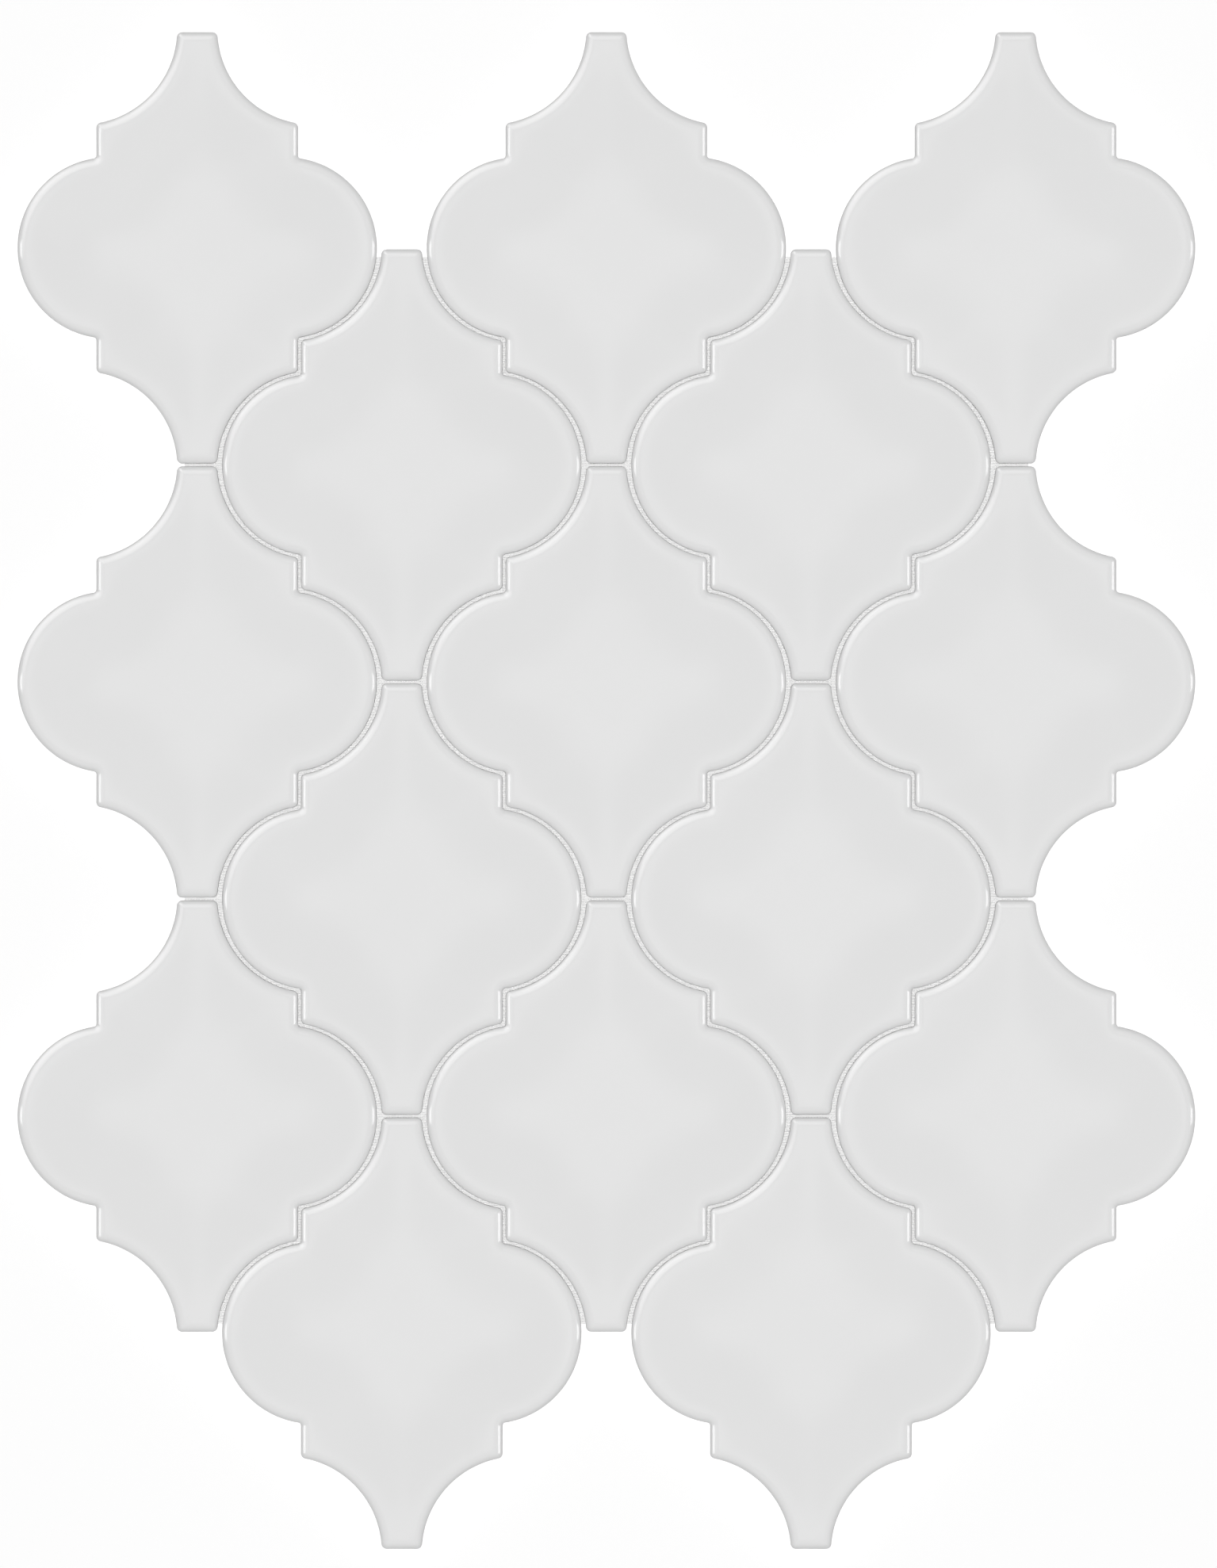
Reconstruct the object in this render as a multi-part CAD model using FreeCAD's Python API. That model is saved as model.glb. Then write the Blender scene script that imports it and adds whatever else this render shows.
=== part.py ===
import FreeCAD, Part
import math
import os

# A mesh-mounted sheet of arabesque wall tiles, lying face up on its backing.
# X runs across the sheet, Y runs up it, and the glazed faces look along +Z.
# The origin is under the middle of the sheet, on the surface it lies on.
# Millimetres.

# One tile: two necks, two round lobes and four straight shoulders
LOBE_RADIUS = 19.7
SHOULDER_WIDTH = 43.9        # from the left shoulders to the right ones
SHOULDER_LENGTH = 7.57       # straight stretch of each shoulder
NECK_WIDTH = 8.7             # at the flat tip of each neck
TILE_THICKNESS = 6.35
EDGE_ROLL = 2.0              # radius from the face down to the side
TIP_RADIUS = 1.15            # outline corners at the tips of shoulders and necks
INNER_RADIUS = 0.7           # outline corners where a shoulder meets a lobe

# The joints between neighbouring tiles
JOINT = 0.65                 # between two shoulders, and between two necks
LOBE_JOINT = 1.09            # what a hollow's radius has over a lobe's
HOLLOW_SHIFT = 0.38          # hollow centre beyond the centre of the lobe in it

# The sheet: rows of COLUMNS tiles take turns with rows of one tile less
COLUMNS = 3
ROWS = 6

# The backing, a rectangle cut from a roll of fine mesh
BACKING_THICKNESS = 0.5
BACKING_SIDE_OVERLAP = 2.8   # beyond the centres of the outer columns
BACKING_END_SETBACK = 2.0    # short of the centres of the first and last rows

# The roll stays inside the neck and inside the thickness of the tile
NECK_SHARE_OF_ROLL = 0.9
THICKNESS_SHARE_OF_ROLL = 0.9
edge_roll = min(
    EDGE_ROLL,
    NECK_SHARE_OF_ROLL * NECK_WIDTH / 2,
    THICKNESS_SHARE_OF_ROLL * TILE_THICKNESS,
)

# Places in the outline's upper right quarter, from the middle of the tile
hollow_radius = LOBE_RADIUS + LOBE_JOINT
half_pitch = SHOULDER_WIDTH + JOINT
shoulder_x = SHOULDER_WIDTH / 2
neck_x = NECK_WIDTH / 2
neck_to_hollow_y = HOLLOW_SHIFT + JOINT / 2
hollow_x = neck_x + math.sqrt(hollow_radius**2 - neck_to_hollow_y**2)
lobe_x = half_pitch - hollow_x
inner_y = math.sqrt(LOBE_RADIUS**2 - (shoulder_x - lobe_x) ** 2)
outer_y = inner_y + SHOULDER_LENGTH
hollow_y = outer_y + math.sqrt(hollow_radius**2 - (hollow_x - shoulder_x) ** 2)
row_step = hollow_y - HOLLOW_SHIFT
neck_y = row_step - JOINT / 2
tile_reach_x = lobe_x + LOBE_RADIUS

# How far two places may lie apart and still count as one
SAME_PLACE = 0.001

COLUMN_NAMES = {
    2: ("left", "right"),
    3: ("left", "middle", "right"),
}
SIGNS = (-1, 1)


def flat(x, y):
    """A point of the outline, on the underside of the tile."""
    return FreeCAD.Vector(x, y, 0)


def hollow_arc(side, end):
    """The hollow that a neighbour's lobe fits, from a neck's tip to a shoulder."""
    neck_angle = math.atan2(neck_y - hollow_y, neck_x - hollow_x)
    shoulder_angle = math.atan2(outer_y - hollow_y, shoulder_x - hollow_x)
    middle = (neck_angle + shoulder_angle) / 2
    middle_x = hollow_x + hollow_radius * math.cos(middle)
    middle_y = hollow_y + hollow_radius * math.sin(middle)
    return Part.Arc(
        flat(side * neck_x, end * neck_y),
        flat(side * middle_x, end * middle_y),
        flat(side * shoulder_x, end * outer_y),
    )


def outline():
    """The closed outline of a tile, with all its corners still sharp."""
    curves = []
    for side in SIGNS:
        lobe_top = flat(side * shoulder_x, inner_y)
        lobe_tip = flat(side * tile_reach_x, 0)
        lobe_foot = flat(side * shoulder_x, -inner_y)
        curves.append(Part.Arc(lobe_top, lobe_tip, lobe_foot))
        for end in SIGNS:
            corner = flat(side * shoulder_x, end * inner_y)
            tip = flat(side * shoulder_x, end * outer_y)
            curves.append(Part.LineSegment(corner, tip))
            curves.append(hollow_arc(side, end))
    for end in SIGNS:
        left = flat(-neck_x, end * neck_y)
        right = flat(neck_x, end * neck_y)
        curves.append(Part.LineSegment(left, right))
    edges = Part.sortEdges([curve.toShape() for curve in curves])[0]
    return Part.Wire(edges)


def upright_edges(solid, x, y):
    """The upright edges at the four places that mirror one corner of the outline."""
    found = []
    for edge in solid.Edges:
        middle = edge.CenterOfMass
        off_x = abs(abs(middle.x) - x)
        off_y = abs(abs(middle.y) - y)
        upright = edge.BoundBox.ZLength > TILE_THICKNESS / 2
        if upright and off_x < SAME_PLACE and off_y < SAME_PLACE:
            found.append(edge)
    return found


def face_edges(solid):
    """The edges round the tile's face."""
    return [edge for edge in solid.Edges if edge.BoundBox.ZMin > TILE_THICKNESS - SAME_PLACE]


def tile():
    """One tile about the origin: the roll meets itself in mitres at the tips."""
    blank = Part.Face(outline()).extrude(FreeCAD.Vector(0, 0, TILE_THICKNESS))
    blank = blank.makeFillet(INNER_RADIUS, upright_edges(blank, shoulder_x, inner_y))
    rolled = blank.makeFillet(edge_roll, face_edges(blank))
    tips = upright_edges(blank, shoulder_x, outer_y) + upright_edges(blank, neck_x, neck_y)
    rounded = blank.makeFillet(TIP_RADIUS, tips)
    return rolled.common(rounded).Solids[0]


def column_name(column, count):
    """The name of a tile's place in its row."""
    names = COLUMN_NAMES.get(count)
    return names[column] if names else f"column{column + 1}"


def tiles():
    """Every tile of the sheet by name, the first row at the top."""
    shape = tile()
    placed = {}
    for row in range(ROWS):
        count = COLUMNS - row % 2
        y = ((ROWS - 1) / 2 - row) * row_step
        for column in range(count):
            x = (2 * column - (count - 1)) * half_pitch
            name = f"tile_row{row + 1}_{column_name(column, count)}"
            placed[name] = shape.translated(FreeCAD.Vector(x, y, BACKING_THICKNESS))
    return placed


def backing():
    """The rectangle of mesh under the tiles, as a thin plate."""
    half_width = (COLUMNS - 1) * half_pitch + BACKING_SIDE_OVERLAP
    half_height = (ROWS - 1) / 2 * row_step - BACKING_END_SETBACK
    corner = FreeCAD.Vector(-half_width, -half_height, 0)
    return Part.makeBox(2 * half_width, 2 * half_height, BACKING_THICKNESS, corner)


nodes = tiles()
nodes["mesh_backing"] = backing()

os.makedirs("parts", exist_ok=True)
for name, shape in nodes.items():
    shape.exportStep(f"parts/{name}.step")
    box = shape.optimalBoundingBox(True, False)
    print(f"{name}: valid {shape.isValid()}, {shape.Volume / 1000:.2f} cm3, "
          f"x {box.XMin:.2f}..{box.XMax:.2f}, y {box.YMin:.2f}..{box.YMax:.2f}, "
          f"z {box.ZMin:.2f}..{box.ZMax:.2f}")
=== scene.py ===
import math

import bpy
import numpy as np
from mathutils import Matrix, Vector
from mathutils.geometry import delaunay_2d_cdt


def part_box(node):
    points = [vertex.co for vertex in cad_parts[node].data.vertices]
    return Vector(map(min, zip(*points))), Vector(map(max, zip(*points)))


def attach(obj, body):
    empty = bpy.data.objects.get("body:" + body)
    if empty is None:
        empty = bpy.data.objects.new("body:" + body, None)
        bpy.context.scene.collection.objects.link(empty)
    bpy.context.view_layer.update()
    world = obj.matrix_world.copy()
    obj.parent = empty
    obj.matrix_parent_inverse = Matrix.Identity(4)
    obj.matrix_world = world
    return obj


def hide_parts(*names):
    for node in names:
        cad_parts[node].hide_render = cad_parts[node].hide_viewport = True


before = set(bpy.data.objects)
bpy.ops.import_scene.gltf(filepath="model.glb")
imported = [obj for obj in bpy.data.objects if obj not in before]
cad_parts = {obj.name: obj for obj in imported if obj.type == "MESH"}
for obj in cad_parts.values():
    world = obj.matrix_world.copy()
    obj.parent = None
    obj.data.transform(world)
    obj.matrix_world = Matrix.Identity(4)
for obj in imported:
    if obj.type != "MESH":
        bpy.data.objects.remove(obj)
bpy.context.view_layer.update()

# A mesh-mounted sheet of glossy white arabesque tiles, seen square on from above.
# Metres, in the frame of the construction: X across, Y up the sheet, Z out of the faces.

MM = 0.001

# The tile's outline, beyond what the frame gives
LOBE_RADIUS = 19.7 * MM
SHOULDER_WIDTH = 43.9 * MM
LOBE_JOINT = 1.09 * MM       # what a hollow's radius has over a lobe's
HOLLOW_SHIFT = 0.38 * MM     # hollow centre beyond the centre of the lobe in it
TIP_RADIUS = 1.15 * MM
SHARPEST_TIP = 0.05 * MM     # what is left of it further in
INNER_RADIUS = 0.7 * MM

# The tile's edge: the glaze falls away ever more steeply, then turns down the upright side
CUSHION_WIDTH = 2.04 * MM
CUSHION_DROP = 0.53 * MM
CUSHION_POWER = 2.38
ARRIS_WIDTH = 0.2 * MM       # the tight turn at the rim, seen from above
FOOT_RADIUS = 0.3 * MM
GLAZE_DEPTH = 3.2 * MM       # how far down the sides the glaze runs
CUSHION_RINGS = 10
ARRIS_RINGS = 4
FOOT_RINGS = 3

# Points along the pieces of a quarter of the outline
NECK_POINTS = 6
TIP_POINTS = 7
HOLLOW_POINTS = 34
SHOULDER_POINTS = 8
INNER_POINTS = 8
LOBE_POINTS = 36

# The face: flat along the cushion, then rising a little to the middle
RIDGE_WIDTH = 0.5 * MM
CROWN_HEIGHT = 0.4 * MM
CROWN_REACH = 22.0 * MM
CROWN_ONSET = 0.06           # share of the reach at which the rise is steepest
CROWN_EASE = 0.35            # share of the reach from which it eases off
CROWN_STEPS = 201            # in the table of the rise
CROWN_SMOOTHING = 5          # rounds of averaging over the neighbours
FACE_SPACING = 1.1 * MM
FACE_CLEARANCE = 0.6         # share of the spacing that the grid keeps from the face's edge
SAME_PLACE = 1e-7            # metres
TRIANGLES_INSIDE = 1         # the kind of triangulation that keeps to its loop

# The backing: two layers of straight glass yarns
YARN_PITCH = 0.6 * MM
YARN_WIDTH = 0.45 * MM
YARN_THICKNESS = 0.52        # share of the backing's, so that the two layers meet
YARN_SIDES = 8
YARN_ROUNDNESS = 0.35        # 1 is an ellipse, 0 a flat ribbon
YARN_SPAN = 16.0 * MM        # between two points of a yarn's line
YARN_WANDER = 0.05 * MM
YARN_SEED = 7

# The finishes: each noise has its grains in a metre and its detail
GLAZE_IOR = 1.52
GLAZE_GREYS = (0.69, 0.71)
GLAZE_ROUGHNESS = (0.04, 0.08)
MOTTLE_NOISE = (60.0, 3.0)
POLISH_NOISE = (900.0, 2.0)
WAVE_NOISE = (260.0, 1.0)
WAVE_STRENGTH = 0.12
WAVE_DEPTH = 0.02 * MM
BISQUE_DARK = (0.75, 0.74, 0.72)
BISQUE_LIGHT = (0.82, 0.815, 0.80)
BISQUE_ROUGHNESS = 0.85
BISQUE_NOISE = (1800.0, 4.0)
GRAIN_STRENGTH = 0.5
GRAIN_DEPTH = 0.05 * MM
YARN_DARK = (0.68, 0.68, 0.68)
YARN_LIGHT = (0.94, 0.94, 0.94)
YARN_ROUGHNESS = 0.55
YARN_NOISE = (2200.0, 2.0)

# The view
LENS = 1250.0                # mm, long enough to look square on everywhere
SENSOR = 36.0                # mm
VIEW_HEIGHT = 341.42 * MM    # what the picture's long side covers at the faces
AIM_X = 0.46 * MM
AIM_Y = 1.42 * MM

# The light
FLOOR_REACH = 6.0            # metres out from the middle
FLOOR_COLOUR = 0.8
FLOOR_GLOW = 0.262
SKY_FILL = 0.025             # how bright the sky is as a light, white being 1
OVERHEAD_POWER = 2.75
OVERHEAD_ANGLE = 0.5         # degrees across

# The round softboxes that show in the glaze: azimuth anticlockwise from +X, elevation,
# where the bright middle ends and where the glow ends, in degrees, and how bright, white being 1
ROUND_SOFTBOXES = [
    (130.2, 41.0, 0.5, 28.0, 2.5),
    (130.2, 61.5, 8.0, 26.5, 2.95),
    (0.0, 90.0, 3.2, 60.0, 2.4),
    (0.0, 90.0, 0.3, 3.2, 0.75),
]

# The upright strips to the left and right of the sheet: lowest and highest elevation,
# half their width, how far their ends and sides fade, in degrees, and how bright
STRIP_LOW = 41.5
STRIP_HIGH = 65.5
STRIP_HALF_WIDTH = 2.3
STRIP_END_FADE = 8.4
STRIP_SIDE_FADE = 1.7
STRIP_LEVEL = 6.2

root = "root"
tile_nodes = sorted(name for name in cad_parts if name.startswith("tile_"))


def node_centre(name):
    """The middle of a node's box."""
    low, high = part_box(name)
    return (low + high) / 2


tile_low, tile_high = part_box("tile_row1_middle")
tile_reach_x = (tile_high.x - tile_low.x) / 2
neck_y = (tile_high.y - tile_low.y) / 2
back_z = tile_low.z
face_z = tile_high.z
first_row = node_centre("tile_row1_middle")
second_row = node_centre("tile_row2_right")
half_pitch = second_row.x - first_row.x
row_step = first_row.y - second_row.y
shoulder_x = SHOULDER_WIDTH / 2
lobe_x = tile_reach_x - LOBE_RADIUS
hollow = Vector((half_pitch - lobe_x, row_step + HOLLOW_SHIFT))
hollow_radius = LOBE_RADIUS + LOBE_JOINT


def line_points(start, end, count):
    """Points from start up to, but not at, end."""
    steps = np.linspace(0, 1, count, endpoint=False)[:, None]
    return np.array(start) * (1 - steps) + np.array(end) * steps


def arc_points(centre, radius, start, end, count):
    """Points on a circle from the direction of start up to, but not at, that of end."""
    first = math.atan2(start[1] - centre[1], start[0] - centre[0])
    last = math.atan2(end[1] - centre[1], end[0] - centre[0])
    turn = (last - first + math.pi) % (2 * math.pi) - math.pi
    angles = first + turn * np.linspace(0, 1, count, endpoint=False)
    ring = np.stack([np.cos(angles), np.sin(angles)], axis=1)
    return np.array(centre) + radius * ring


def towards(centre, place, distance):
    """The point at a distance from centre in the direction of place."""
    step_x, step_y = place[0] - centre[0], place[1] - centre[1]
    share = distance / math.hypot(step_x, step_y)
    return (centre[0] + step_x * share, centre[1] + step_y * share)


def quarter_outline(inset):
    """The outline's upper right quarter, moved inwards, from the neck's middle to the lobe's tip."""
    tip = max(TIP_RADIUS - inset, SHARPEST_TIP)
    inner = INNER_RADIUS + inset
    top = neck_y - inset
    side = shoulder_x - inset
    lobe = (lobe_x, 0.0)
    lobe_radius = LOBE_RADIUS - inset
    reach = hollow_radius + inset
    neck_tip_y = top - tip
    neck_tip_x = hollow.x - math.sqrt((reach + tip) ** 2 - (hollow.y - neck_tip_y) ** 2)
    neck_tip = (neck_tip_x, neck_tip_y)
    shoulder_tip_x = side - tip
    shoulder_tip_y = hollow.y - math.sqrt((reach + tip) ** 2 - (hollow.x - shoulder_tip_x) ** 2)
    shoulder_tip = (shoulder_tip_x, shoulder_tip_y)
    inner_x = side + inner
    inner_y = math.sqrt((lobe_radius + inner) ** 2 - (inner_x - lobe_x) ** 2)
    inner_corner = (inner_x, inner_y)
    neck_touch = (neck_tip_x, top)
    hollow_start = towards(hollow, neck_tip, reach)
    hollow_end = towards(hollow, shoulder_tip, reach)
    shoulder_start = (side, shoulder_tip_y)
    shoulder_end = (side, inner_y)
    lobe_start = towards(lobe, inner_corner, lobe_radius)
    lobe_end = (lobe_x + lobe_radius, 0.0)
    return np.concatenate([
        line_points((0.0, top), neck_touch, NECK_POINTS),
        arc_points(neck_tip, tip, neck_touch, hollow_start, TIP_POINTS),
        arc_points(hollow, reach, hollow_start, hollow_end, HOLLOW_POINTS),
        arc_points(shoulder_tip, tip, hollow_end, shoulder_start, TIP_POINTS),
        line_points(shoulder_start, shoulder_end, SHOULDER_POINTS),
        arc_points(inner_corner, inner, shoulder_end, lobe_start, INNER_POINTS),
        arc_points(lobe, lobe_radius, lobe_start, lobe_end, LOBE_POINTS),
        [lobe_end],
    ])


def ring_outline(inset):
    """The whole outline, moved inwards, clockwise from the top neck's middle."""
    quarter = quarter_outline(inset)
    right = np.concatenate([quarter, quarter[-2::-1] * (1, -1)])
    left = right[-2:0:-1] * (-1, 1)
    return np.concatenate([right, left])


def cushion_height(inset):
    """How high the glaze stands at a distance in from the rim, along the cushion."""
    share = 1 - inset / CUSHION_WIDTH
    return face_z - CROWN_HEIGHT - CUSHION_DROP * share**CUSHION_POWER


def edge_profile():
    """Pairs of inset and height for the rings from the back, up the side and onto the face."""
    share = 1 - ARRIS_WIDTH / CUSHION_WIDTH
    steep = math.atan(CUSHION_DROP * CUSHION_POWER / CUSHION_WIDTH * share ** (CUSHION_POWER - 1))
    arris_radius = ARRIS_WIDTH / (1 - math.sin(steep))
    side_top = cushion_height(ARRIS_WIDTH) - arris_radius * math.cos(steep)
    rings = []
    for step in range(FOOT_RINGS + 1):
        turn = math.pi / 2 * step / FOOT_RINGS
        rings.append((FOOT_RADIUS * (1 - math.sin(turn)), back_z + FOOT_RADIUS * (1 - math.cos(turn))))
    rings.append((0.0, face_z - GLAZE_DEPTH))
    for step in range(ARRIS_RINGS):
        slope = math.pi / 2 + (steep - math.pi / 2) * step / ARRIS_RINGS
        rings.append((arris_radius * (1 - math.sin(slope)), side_top + arris_radius * math.cos(slope)))
    for inset in np.linspace(ARRIS_WIDTH, CUSHION_WIDTH, CUSHION_RINGS + 1):
        rings.append((inset, cushion_height(inset)))
    rings.append((CUSHION_WIDTH + RIDGE_WIDTH, face_z - CROWN_HEIGHT))
    return rings


def inside(points, loop):
    """Which points lie within a closed loop of points."""
    x, y = points[:, 0][:, None], points[:, 1][:, None]
    x0, y0 = loop[:, 0], loop[:, 1]
    x1, y1 = np.roll(x0, -1), np.roll(y0, -1)
    spans = (y0 > y) != (y1 > y)
    # A level edge is never crossed, so its rise may be any number but zero
    rise = np.where(y1 == y0, 1.0, y1 - y0)
    crossing = x0 + (y - y0) / rise * (x1 - x0)
    return (spans & (x < crossing)).sum(axis=1) % 2 == 1


def nearest(points, loop):
    """Each point's distance to the nearest point of a loop."""
    steps = points[:, None, :] - loop[None, :, :]
    return np.sqrt((steps**2).sum(axis=2)).min(axis=1)


def face_points(loop):
    """A triangular grid of points within a loop, clear of it."""
    row_height = FACE_SPACING * math.sqrt(3) / 2
    rows = int(neck_y / row_height)
    columns = int(tile_reach_x / FACE_SPACING) + 1
    found = []
    for row in range(-rows, rows + 1):
        shift = FACE_SPACING / 2 * (row % 2)
        for column in range(-columns, columns + 1):
            found.append((column * FACE_SPACING + shift, row * row_height))
    found = np.array(found)
    clear = nearest(found, loop) > FACE_SPACING * FACE_CLEARANCE
    kept = inside(found, loop) & clear
    return found[kept]


def crown(points, faces, loop):
    """The rise of the face at each of its points: none along the loop, most in the middle."""
    steps = np.linspace(0, 1, CROWN_STEPS)
    past = np.clip((steps - CROWN_EASE) / (1 - CROWN_EASE), 0, 1)
    slope = np.clip(steps / CROWN_ONSET, 0, 1) * (1 - past**2 * (3 - 2 * past))
    rise = np.interp(nearest(points, loop) / CROWN_REACH, steps, np.cumsum(slope))
    edges = np.array([(face[k], face[k - 1]) for face in faces for k in range(3)])
    ends = np.concatenate([edges, edges[:, ::-1]])
    count = np.bincount(ends[:, 0], minlength=len(points))
    fixed = np.arange(len(points)) < len(loop)
    for _ in range(CROWN_SMOOTHING):
        total = np.bincount(ends[:, 0], weights=rise[ends[:, 1]], minlength=len(points))
        rise = np.where(fixed, 0.0, total / count)
    return CROWN_HEIGHT * rise / rise.max()


def ring_at(inset, height):
    """The points of one ring round the tile."""
    outline = ring_outline(inset)
    return np.column_stack([outline, np.full(len(outline), height)])


def tile_shape():
    """The points and faces of one tile about its own middle, and how many of the first are bare."""
    rings = edge_profile()
    loops = [ring_at(inset, height) for inset, height in rings]
    ring_length = len(loops[0])
    faces = [tuple(range(ring_length))]
    for ring in range(len(rings) - 1):
        low, high = ring * ring_length, (ring + 1) * ring_length
        for k in range(ring_length):
            after = (k + 1) % ring_length
            faces.append((low + after, low + k, high + k, high + after))
        if ring == FOOT_RINGS:
            bare = len(faces)
    loop = loops[-1][:, :2]
    grid = face_points(loop)
    flat = [Vector(place) for place in np.concatenate([loop, grid])]
    ring_edges = [(k, (k + 1) % ring_length) for k in range(ring_length)]
    _, _, out_faces, origin, _, _ = delaunay_2d_cdt(
        flat, ring_edges, [], TRIANGLES_INSIDE, SAME_PLACE)
    source = [places[0] for places in origin]
    top = [tuple(source[k] for k in face) for face in out_faces]
    rise = crown(np.array(flat), top, loop)
    first_top = (len(rings) - 1) * ring_length
    risen = np.column_stack([grid, face_z - CROWN_HEIGHT + rise[ring_length:]])
    points = np.concatenate(loops + [risen])
    faces += [tuple(first_top + k for k in face) for face in top]
    return points, faces, bare


def new_mesh_object(name, points, faces, smooth=True):
    """A mesh at the origin, with its place in its points."""
    mesh = bpy.data.meshes.new(name)
    mesh.from_pydata([tuple(p) for p in points], [], faces)
    mesh.validate()
    mesh.polygons.foreach_set("use_smooth", [smooth] * len(mesh.polygons))
    mesh.update()
    piece = bpy.data.objects.new(name, mesh)
    bpy.context.scene.collection.objects.link(piece)
    return piece


def new_material(name):
    """A material, its node tree and its principled shader."""
    material = bpy.data.materials.new(name)
    material.use_nodes = True
    tree = material.node_tree
    return material, tree, tree.nodes["Principled BSDF"]


def calculation(tree, operation, *values):
    """The result of one maths node, whose values are numbers or other nodes' results."""
    node = tree.nodes.new("ShaderNodeMath")
    node.operation = operation
    for socket, value in zip(node.inputs, values):
        if isinstance(value, bpy.types.NodeSocket):
            tree.links.new(value, socket)
        else:
            socket.default_value = value
    return node.outputs[0]


def noise(tree, scale, detail):
    """A soft random value from 0 to 1, fixed to the object: scale is its grains in a metre."""
    node = tree.nodes.new("ShaderNodeTexNoise")
    node.inputs["Scale"].default_value = scale
    node.inputs["Detail"].default_value = detail
    place = tree.nodes.new("ShaderNodeTexCoord")
    tree.links.new(place.outputs["Object"], node.inputs["Vector"])
    return node.outputs["Fac"]


def between(tree, value, least, most):
    """A value from 0 to 1, spread from least to most."""
    node = tree.nodes.new("ShaderNodeMapRange")
    node.inputs["To Min"].default_value = least
    node.inputs["To Max"].default_value = most
    tree.links.new(value, node.inputs["Value"])
    return node.outputs["Result"]


def fade(tree, value, none, full):
    """A smooth step of a value, from 0 at one number to 1 at the other."""
    node = tree.nodes.new("ShaderNodeMapRange")
    node.interpolation_type = "SMOOTHSTEP"
    node.inputs["From Min"].default_value = none
    node.inputs["From Max"].default_value = full
    tree.links.new(value, node.inputs["Value"])
    return node.outputs["Result"]


def tint(tree, value, dark, light):
    """A colour that a value from 0 to 1 takes from dark to light."""
    node = tree.nodes.new("ShaderNodeMix")
    node.data_type = "RGBA"
    node.inputs["A"].default_value = (*dark, 1.0)
    node.inputs["B"].default_value = (*light, 1.0)
    tree.links.new(value, node.inputs["Factor"])
    return node.outputs["Result"]


def roughen(tree, shader, height, strength, depth):
    """Lets a value stand out of the surface as bumps."""
    node = tree.nodes.new("ShaderNodeBump")
    node.inputs["Strength"].default_value = strength
    node.inputs["Distance"].default_value = depth
    tree.links.new(height, node.inputs["Height"])
    tree.links.new(node.outputs["Normal"], shader.inputs["Normal"])


def glaze_material():
    """Glossy white glaze with the faintest waviness and mottling."""
    material, tree, shader = new_material("white_glaze")
    shader.inputs["IOR"].default_value = GLAZE_IOR
    mottle = between(tree, noise(tree, *MOTTLE_NOISE), *GLAZE_GREYS)
    grey = tree.nodes.new("ShaderNodeCombineColor")
    for channel in ("Red", "Green", "Blue"):
        tree.links.new(mottle, grey.inputs[channel])
    tree.links.new(grey.outputs["Color"], shader.inputs["Base Color"])
    polish = between(tree, noise(tree, *POLISH_NOISE), *GLAZE_ROUGHNESS)
    tree.links.new(polish, shader.inputs["Roughness"])
    roughen(tree, shader, noise(tree, *WAVE_NOISE), WAVE_STRENGTH, WAVE_DEPTH)
    return material


def bisque_material():
    """The unglazed fired body on the backs and the lower sides."""
    material, tree, shader = new_material("bisque")
    shader.inputs["Roughness"].default_value = BISQUE_ROUGHNESS
    grain = noise(tree, *BISQUE_NOISE)
    colour = tint(tree, grain, BISQUE_DARK, BISQUE_LIGHT)
    tree.links.new(colour, shader.inputs["Base Color"])
    roughen(tree, shader, grain, GRAIN_STRENGTH, GRAIN_DEPTH)
    return material


def yarn_material():
    """White glass yarn, a little uneven along its length."""
    material, tree, shader = new_material("glass_yarn")
    shader.inputs["Roughness"].default_value = YARN_ROUGHNESS
    colour = tint(tree, noise(tree, *YARN_NOISE), YARN_DARK, YARN_LIGHT)
    tree.links.new(colour, shader.inputs["Base Color"])
    return material


def make_tiles():
    """A dense glazed mesh in the place of each tile."""
    tile_points, tile_faces, bare_faces = tile_shape()
    glaze = glaze_material()
    bisque = bisque_material()
    slots = [0] * len(tile_faces)
    slots[:bare_faces] = [1] * bare_faces
    for name in tile_nodes:
        centre = node_centre(name)
        placed = tile_points + (centre.x, centre.y, 0.0)
        piece = new_mesh_object(f"{name}_glazed", placed, tile_faces)
        piece.data.materials.append(glaze)
        piece.data.materials.append(bisque)
        piece.data.polygons.foreach_set("material_index", slots)
        # The first face is the flat back
        piece.data.polygons[0].use_smooth = False
        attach(piece, root)
        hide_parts(name)


def yarn(start, end, thickness, wander):
    """A flattened tube along a slightly wandering line, as points and faces."""
    start, end = np.array(start), np.array(end)
    length = np.linalg.norm(end - start)
    forward = (end - start) / length
    across = np.array([-forward[1], forward[0], 0.0])
    stations = max(int(length / YARN_SPAN), 2) + 1
    turns = np.arange(YARN_SIDES) * 2 * math.pi / YARN_SIDES
    rise = np.sign(np.sin(turns)) * np.abs(np.sin(turns)) ** YARN_ROUNDNESS
    section = (np.cos(turns)[:, None] * across * YARN_WIDTH / 2
               + rise[:, None] * np.array([0, 0, 1.0]) * thickness / 2)
    sway = wander.uniform(-YARN_WANDER, YARN_WANDER, stations)
    sway[0] = sway[-1] = 0.0
    along = np.linspace(0, length, stations)
    lines = start + along[:, None] * forward + sway[:, None] * across
    points = (lines[:, None, :] + section[None, :, :]).reshape(-1, 3)
    faces = [tuple(range(YARN_SIDES))[::-1]]
    for station in range(stations - 1):
        low, high = station * YARN_SIDES, (station + 1) * YARN_SIDES
        for k in range(YARN_SIDES):
            after = (k + 1) % YARN_SIDES
            faces.append((low + k, low + after, high + after, high + k))
    last = (stations - 1) * YARN_SIDES
    faces.append(tuple(range(last, last + YARN_SIDES)))
    return points, faces


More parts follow.
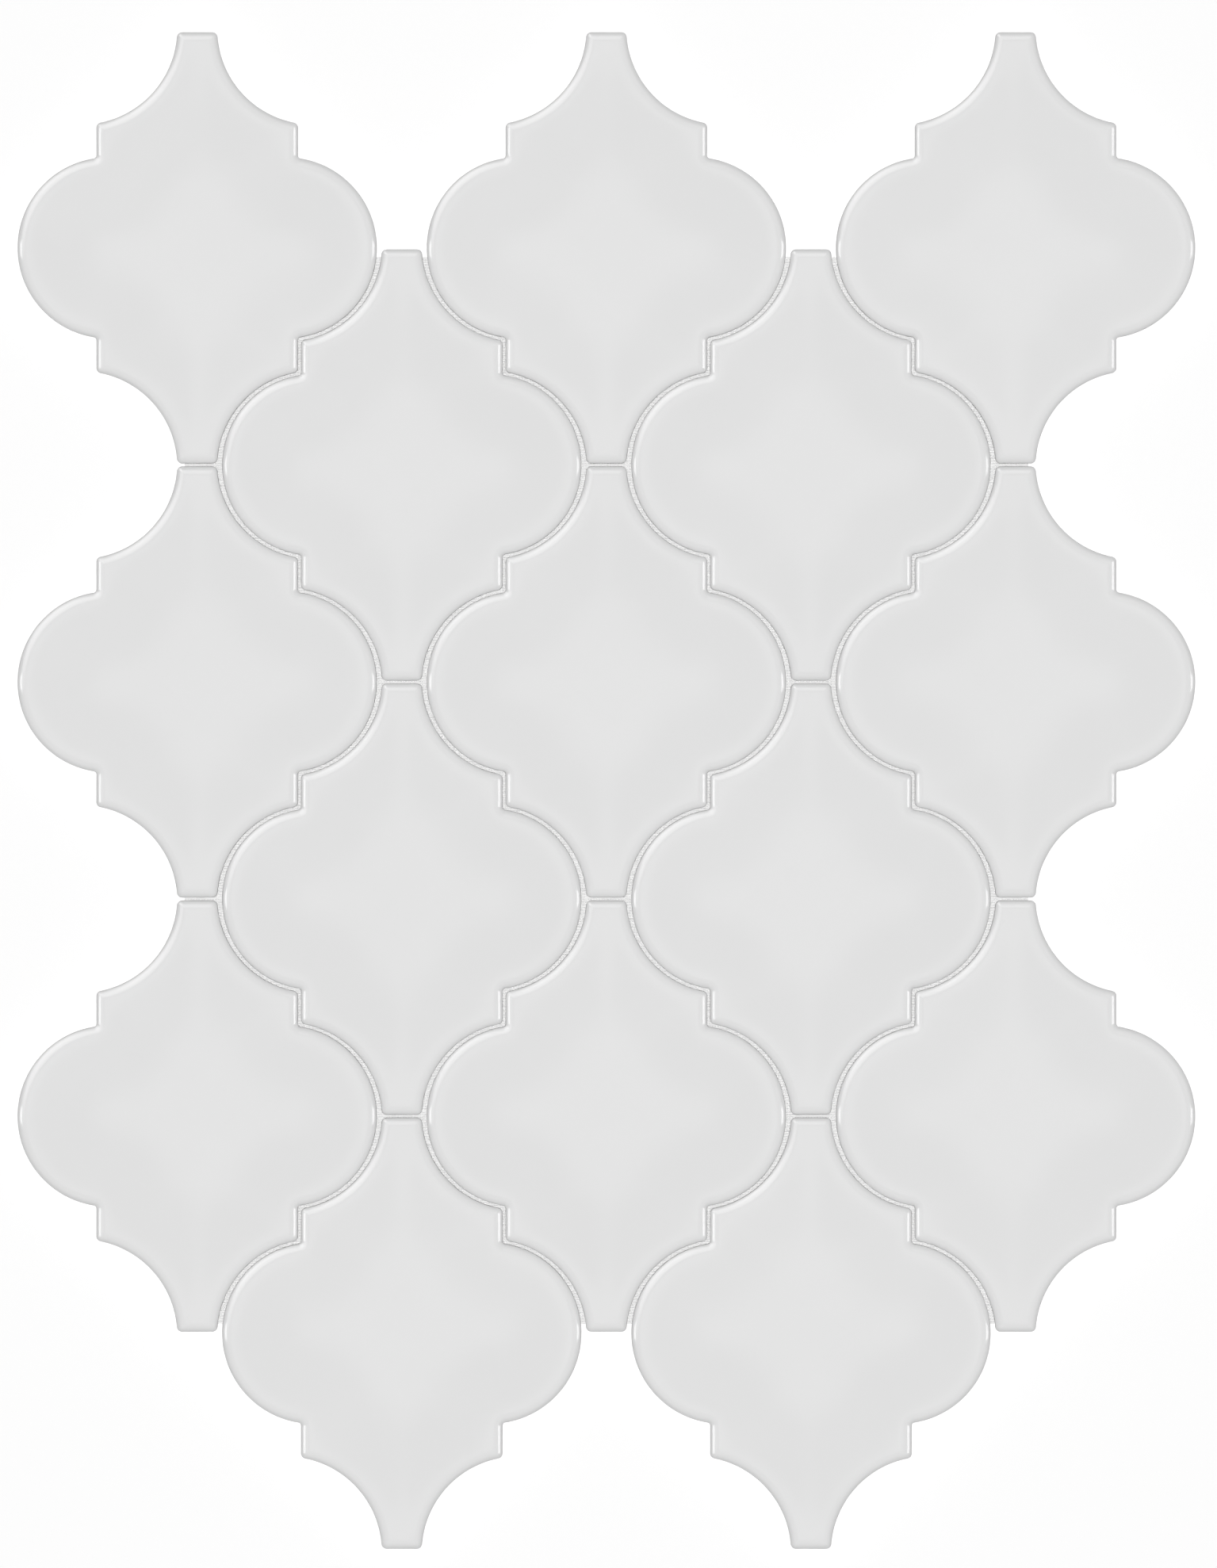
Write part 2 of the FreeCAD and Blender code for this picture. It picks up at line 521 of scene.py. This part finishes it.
def yarn_places(low, high):
    """Evenly spaced places for yarns between two edges."""
    room = high - low - YARN_WIDTH
    count = int(room / YARN_PITCH) + 1
    return np.linspace(low + YARN_WIDTH / 2, high - YARN_WIDTH / 2, count)


def make_backing():
    """The mesh in the place of the backing plate."""
    low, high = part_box("mesh_backing")
    thickness = (high.z - low.z) * YARN_THICKNESS
    wander = np.random.default_rng(YARN_SEED)
    points, faces = [], []
    made = 0
    runs = [((x, low.y, low.z + thickness / 2), (x, high.y, low.z + thickness / 2))
            for x in yarn_places(low.x, high.x)]
    runs += [((low.x, y, high.z - thickness / 2), (high.x, y, high.z - thickness / 2))
             for y in yarn_places(low.y, high.y)]
    for start, end in runs:
        yarn_points, yarn_faces = yarn(start, end, thickness, wander)
        points.append(yarn_points)
        faces += [tuple(made + k for k in face) for face in yarn_faces]
        made += len(yarn_points)
    piece = new_mesh_object("mesh_backing_yarns", np.concatenate(points), faces, smooth=False)
    piece.data.materials.append(yarn_material())
    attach(piece, root)
    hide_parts("mesh_backing")


def seen_by_viewers(tree):
    """A value that is 1 for the camera, reflections and clear materials, and 0 for other light."""
    path = tree.nodes.new("ShaderNodeLightPath").outputs
    either = calculation(tree, "MAXIMUM", path["Is Camera Ray"], path["Is Glossy Ray"])
    return calculation(tree, "MAXIMUM", either, path["Is Transmission Ray"])


def make_floor():
    """A wide pale floor that the sheet lies on."""
    points = [(-FLOOR_REACH, -FLOOR_REACH, 0), (FLOOR_REACH, -FLOOR_REACH, 0),
              (FLOOR_REACH, FLOOR_REACH, 0), (-FLOOR_REACH, FLOOR_REACH, 0)]
    floor = new_mesh_object("floor", points, [(0, 1, 2, 3)])
    material, tree, shader = new_material("white_floor")
    shader.inputs["Base Color"].default_value = (FLOOR_COLOUR, FLOOR_COLOUR, FLOOR_COLOUR, 1.0)
    shader.inputs["Roughness"].default_value = 1.0
    shader.inputs["Specular IOR Level"].default_value = 0.0
    shader.inputs["Emission Color"].default_value = (1.0, 1.0, 1.0, 1.0)
    glow = calculation(tree, "MULTIPLY", seen_by_viewers(tree), FLOOR_GLOW)
    tree.links.new(glow, shader.inputs["Emission Strength"])
    floor.data.materials.append(material)


def sine(angle):
    """The sine of an angle in degrees."""
    return math.sin(math.radians(angle))


def direction(azimuth, elevation):
    """The way from the sheet to a light."""
    a, e = math.radians(azimuth), math.radians(elevation)
    return Vector((math.cos(a) * math.cos(e), math.sin(a) * math.cos(e), math.sin(e)))


def round_softbox(tree, place, azimuth, elevation, middle, reach, level):
    """The brightness of a round softbox, which fades from its middle outwards."""
    along = tree.nodes.new("ShaderNodeVectorMath")
    along.operation = "DOT_PRODUCT"
    along.inputs[1].default_value = direction(azimuth, elevation)
    tree.links.new(place, along.inputs[0])
    edge, core = math.cos(math.radians(reach)), math.cos(math.radians(middle))
    return calculation(tree, "MULTIPLY", fade(tree, along.outputs["Value"], edge, core), level)


def strip_softboxes(tree, place):
    """The brightness of two upright strips, one on each side of the sheet."""
    parts = tree.nodes.new("ShaderNodeSeparateXYZ")
    tree.links.new(place, parts.inputs[0])
    off_axis = calculation(tree, "ABSOLUTE", parts.outputs["Y"])
    height = parts.outputs["Z"]
    across = fade(tree, off_axis, sine(STRIP_HALF_WIDTH + STRIP_SIDE_FADE), sine(STRIP_HALF_WIDTH))
    above = fade(tree, height, sine(STRIP_LOW), sine(STRIP_LOW + STRIP_END_FADE))
    below = fade(tree, height, sine(STRIP_HIGH), sine(STRIP_HIGH - STRIP_END_FADE))
    share = calculation(tree, "MULTIPLY", across, calculation(tree, "MULTIPLY", above, below))
    return calculation(tree, "MULTIPLY", share, STRIP_LEVEL)


def make_world():
    """A sky that is dim as a light and white to look at, with softboxes where the glaze reflects it."""
    world = bpy.data.worlds.new("studio")
    bpy.context.scene.world = world
    world.use_nodes = True
    tree = world.node_tree
    place = tree.nodes.new("ShaderNodeTexCoord").outputs["Generated"]
    softboxes = strip_softboxes(tree, place)
    for softbox in ROUND_SOFTBOXES:
        softboxes = calculation(tree, "ADD", softboxes, round_softbox(tree, place, *softbox))
    glossy = tree.nodes.new("ShaderNodeLightPath").outputs["Is Glossy Ray"]
    reflected = calculation(tree, "MULTIPLY", softboxes, glossy)
    level = between(tree, seen_by_viewers(tree), SKY_FILL, 1.0)
    background = tree.nodes["Background"]
    background.inputs["Color"].default_value = (1.0, 1.0, 1.0, 1.0)
    strength = calculation(tree, "ADD", level, reflected)
    tree.links.new(strength, background.inputs["Strength"])


def make_overhead_light():
    """An even light straight down, which reaches to the bottom of the joints."""
    lamp = bpy.data.lights.new("overhead", "SUN")
    lamp.angle = math.radians(OVERHEAD_ANGLE)
    lamp.energy = OVERHEAD_POWER
    light = bpy.data.objects.new("overhead", lamp)
    light.visible_glossy = False
    bpy.context.scene.collection.objects.link(light)


def make_camera():
    """A very long lens straight above the sheet."""
    data = bpy.data.cameras.new("camera")
    data.sensor_width = SENSOR
    data.lens = LENS
    distance = LENS / SENSOR * VIEW_HEIGHT
    data.clip_end = 2 * distance
    camera = bpy.data.objects.new("camera", data)
    camera.location = (AIM_X, AIM_Y, face_z + distance)
    bpy.context.scene.collection.objects.link(camera)
    bpy.context.scene.camera = camera


make_camera()
make_tiles()
make_backing()
make_floor()
make_world()
make_overhead_light()
bpy.context.scene.view_settings.view_transform = "Standard"
